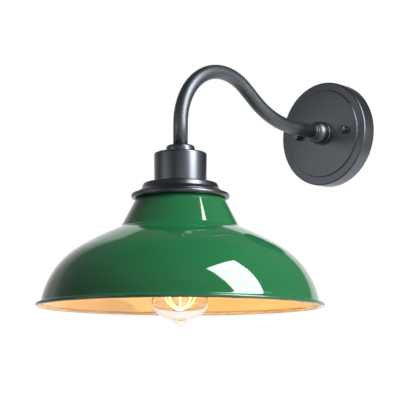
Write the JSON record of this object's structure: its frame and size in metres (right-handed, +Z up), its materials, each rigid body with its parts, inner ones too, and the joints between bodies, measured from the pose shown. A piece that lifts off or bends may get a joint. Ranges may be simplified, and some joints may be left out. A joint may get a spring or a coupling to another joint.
{
  "type": "gooseneck wall sconce",
  "caption": "Wall light with a round backplate, a bent gooseneck arm, a socket cup, an enamelled metal shade open below and a screw-in bulb.",
  "frame": {"origin": "centre of the round backplate on the wall plane, which is the back face of the mounting strap", "axes": "+Z up, +Y into the wall, so the arm and shade stand out along -Y; +X to the right seen from the front"},
  "size_m": [0.3048, 0.4178, 0.3025],
  "materials": {
    "graphite_metal": "brushed steel with a dark graphite finish",
    "zinc_steel": "zinc-plated steel",
    "brass": "plain brass",
    "green_enamel": "high-gloss green enamel on steel, white enamel inside",
    "porcelain": "glazed porcelain",
    "black_phenolic": "moulded phenolic",
    "black_insulation": "wire insulation",
    "white_insulation": "wire insulation",
    "green_insulation": "wire insulation",
    "orange_plastic": "moulded connector cap",
    "green_screw": "green-coated steel",
    "clear_glass": "clear blown glass",
    "stem_glass": "drawn glass tube",
    "bulb_metal": "thin rolled metal shell",
    "bulb_insulation": "black glass insulator",
    "solder": "tinned contact",
    "filament_glow": "glowing filament"
  },
  "bodies": {
    "fixture": {"mounting_strap": "zinc_steel", "ground_screw": "green_screw", "canopy_studs": "zinc_steel", "stud_lock_nuts": "zinc_steel", "backplate": "graphite_metal", "arm_collar": "graphite_metal", "arm_lock_washer": "zinc_steel", "arm_lock_nut": "zinc_steel", "wall_nipple": "zinc_steel", "wall_bush": "zinc_steel", "arm_tube": "graphite_metal", "socket_bush": "zinc_steel", "neck_ring": "graphite_metal", "socket_nipple": "zinc_steel", "socket_lock_nuts": "zinc_steel", "socket_cup": "graphite_metal", "gallery": "graphite_metal", "socket_bracket": "zinc_steel", "bracket_screws": "zinc_steel", "terminal_screws": "brass", "socket_body": "porcelain", "screw_shell": "brass", "centre_contact": "brass", "line_wire": "black_insulation", "neutral_wire": "white_insulation", "ground_wire": "green_insulation", "wire_connectors": "orange_plastic"},
    "washer_left": {"nut_washer_left": "graphite_metal"},
    "washer_right": {"nut_washer_right": "graphite_metal"},
    "nut_left": {"thumb_nut_left": "graphite_metal"},
    "nut_right": {"thumb_nut_right": "graphite_metal"},
    "shade": {"shade": "green_enamel"},
    "shade_ring": {"shade_ring": "black_phenolic"},
    "bulb_core": {"bulb_insulator": "bulb_insulation", "bulb_contact": "solder"},
    "bulb": {"bulb_glass": "clear_glass", "bulb_base": "bulb_metal", "glass_stem": "stem_glass", "filament": "filament_glow", "filament_supports": "zinc_steel"}
  },
  "joints": [
    {"name": "nut_left_travel", "type": "slide", "parent": "fixture", "child": "washer_left", "axis": [0, -1, 0], "range_m": [0, 0.00476]},
    {"name": "nut_left_turn", "type": "hinge", "parent": "washer_left", "child": "nut_left", "pos_m": [-0.03492, -0.0247, 0], "axis": [0, -1, 0], "range_deg": [0, 2161]},
    {"name": "nut_right_travel", "type": "slide", "parent": "fixture", "child": "washer_right", "axis": [0, -1, 0], "range_m": [0, 0.00476]},
    {"name": "nut_right_turn", "type": "hinge", "parent": "washer_right", "child": "nut_right", "pos_m": [0.03492, -0.0247, 0], "axis": [0, -1, 0], "range_deg": [0, 2161]},
    {"name": "shade_travel", "type": "slide", "parent": "fixture", "child": "shade", "axis": [0, 0, -1], "range_m": [0, 0.008]},
    {"name": "shade_turn", "type": "hinge", "parent": "shade", "child": "shade_ring", "pos_m": [0, -0.2654, -0.09], "axis": [0, 0, -1], "range_deg": [0, 1441]},
    {"name": "bulb_travel", "type": "slide", "parent": "fixture", "child": "bulb_core", "axis": [0, 0, -1], "range_m": [0, 0.02178]},
    {"name": "bulb_turn", "type": "hinge", "parent": "bulb_core", "child": "bulb", "pos_m": [0, -0.2654, -0.11], "axis": [0, 0, -1], "range_deg": [0, 2161]}
  ],
  "couplings": [
    {"joint": "nut_left_turn", "follows": "nut_left_travel", "rad_per_m": 7913.3},
    {"joint": "nut_right_turn", "follows": "nut_right_travel", "rad_per_m": 7913.3},
    {"joint": "shade_turn", "follows": "shade_travel", "rad_per_m": 3141.6},
    {"joint": "bulb_turn", "follows": "bulb_travel", "rad_per_m": 1730.9}
  ]
}
